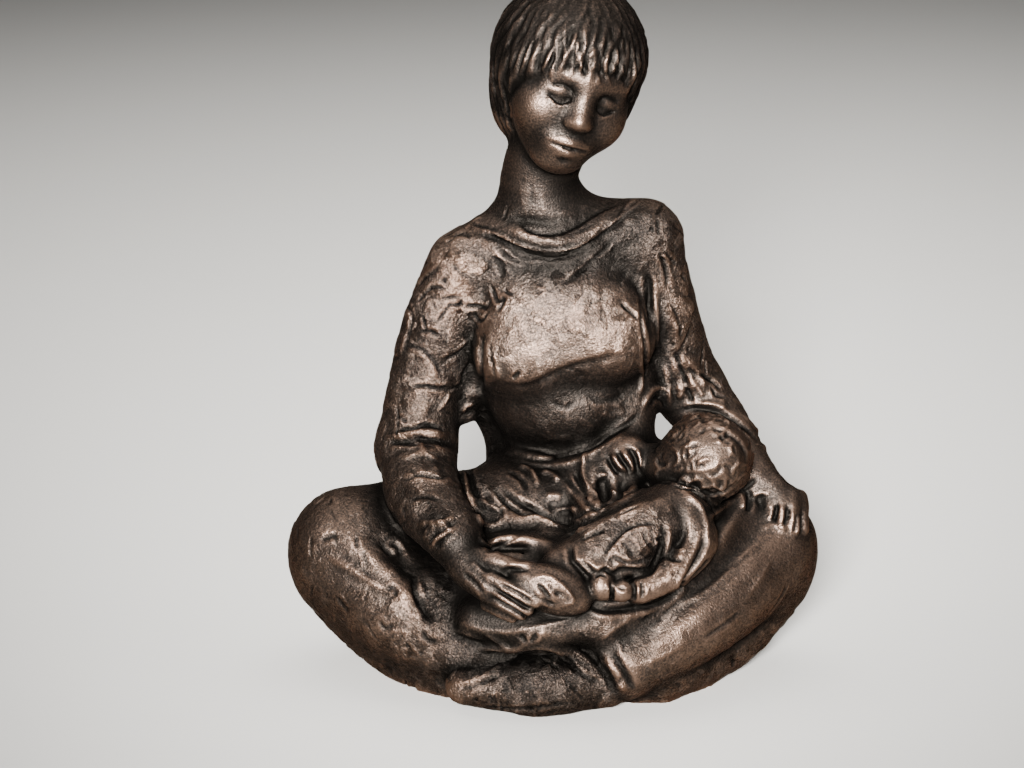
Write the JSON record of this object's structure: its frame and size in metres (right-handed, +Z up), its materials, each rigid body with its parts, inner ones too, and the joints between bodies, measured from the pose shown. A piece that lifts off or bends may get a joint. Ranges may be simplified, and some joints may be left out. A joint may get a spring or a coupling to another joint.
{
  "type": "seated mother and child figurine",
  "caption": "Seated cross-legged mother in a pullover with a wrapped child lying across her lap, small statuette cast in one piece with a patinated bronze finish.",
  "frame": {"origin": "on the flat underside, below the middle of the mother's body", "axes": "+Z up, the mother faces -Y, her left side with the child's head is on +X"},
  "size_m": [0.1704, 0.1068, 0.22],
  "materials": {
    "patinated_bronze": "dark brown patina, satin, rubbed warm on the raised forms"
  },
  "bodies": {
    "root": {"figure": "patinated_bronze"}
  },
  "joints": []
}
